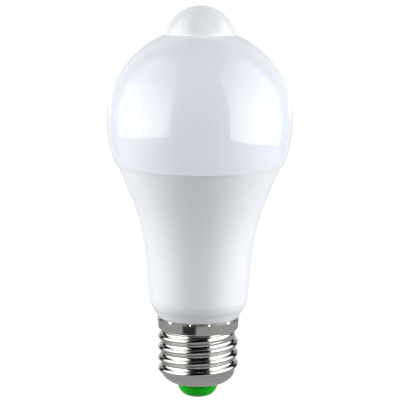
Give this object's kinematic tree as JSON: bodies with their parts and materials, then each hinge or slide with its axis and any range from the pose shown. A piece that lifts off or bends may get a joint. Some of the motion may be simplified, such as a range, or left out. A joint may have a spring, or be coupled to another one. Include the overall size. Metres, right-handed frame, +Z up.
{
  "type": "motion sensor led bulb",
  "caption": "Screw-cap LED lamp: opal globe with a domed infrared sensor lens on top, flared white housing, rolled-thread metal cap and green insulator.",
  "frame": {"origin": "on the lamp's axis at the tip of the centre contact, the lowest point as the picture shows it standing", "axes": "+Z up the lamp's axis from the centre contact to the sensor lens, -Y to the picture's front"},
  "size_m": [0.06, 0.06, 0.1285],
  "materials": {
    "opal_globe": "gloss",
    "lens_plastic": "satin",
    "housing_plastic": "gloss",
    "nickel_plate": "polished",
    "green_insulator": "gloss",
    "contact_metal": "satin",
    "drawn_aluminium": "brushed",
    "white_mask": "matte",
    "led_tub": "matte",
    "white_moulding": "matte",
    "screw_steel": "brushed",
    "filter_window": "gloss",
    "clear_epoxy": "gloss",
    "capacitor_sleeve": "gloss",
    "board_laminate": "satin",
    "black_epoxy": "matte",
    "ferrite": "matte",
    "copper_winding": "gloss",
    "film_box": "gloss",
    "varistor_coat": "satin",
    "resistor_coat": "satin",
    "tinned_wire": "satin",
    "red_sleeve": "satin",
    "black_sleeve": "satin",
    "yellow_sleeve": "satin"
  },
  "bodies": {
    "root": {"diffuser_globe": "opal_globe", "sensor_lens": "lens_plastic", "housing": "housing_plastic", "screw_shell": "nickel_plate", "base_insulator": "green_insulator", "centre_contact": "contact_metal", "heat_sink_cup": "drawn_aluminium", "led_board": "white_mask", "led_01": "led_tub", "led_02": "led_tub", "led_03": "led_tub", "led_04": "led_tub", "led_05": "led_tub", "led_06": "led_tub", "led_07": "led_tub", "led_08": "led_tub", "led_09": "led_tub", "led_10": "led_tub", "led_11": "led_tub", "led_12": "led_tub", "sensor_post": "white_moulding", "board_screws": "screw_steel", "sensor_can": "screw_steel", "sensor_header": "screw_steel", "sensor_window": "filter_window", "light_sensor": "clear_epoxy", "sensor_capacitor": "capacitor_sleeve", "bulk_capacitor": "capacitor_sleeve", "output_capacitor": "capacitor_sleeve", "sensor_board": "board_laminate", "driver_board": "board_laminate", "sensor_chip": "black_epoxy", "bridge_rectifier": "black_epoxy", "driver_chip": "black_epoxy", "inductor_core": "ferrite", "inductor_coil": "copper_winding", "film_capacitor": "film_box", "varistor": "varistor_coat", "fuse_resistor": "resistor_coat", "live_lead": "tinned_wire", "neutral_lead": "tinned_wire", "led_lead_positive": "red_sleeve", "sensor_lead_supply": "red_sleeve", "led_lead_negative": "black_sleeve", "sensor_lead_ground": "black_sleeve", "sensor_lead_signal": "yellow_sleeve"}
  },
  "joints": []
}
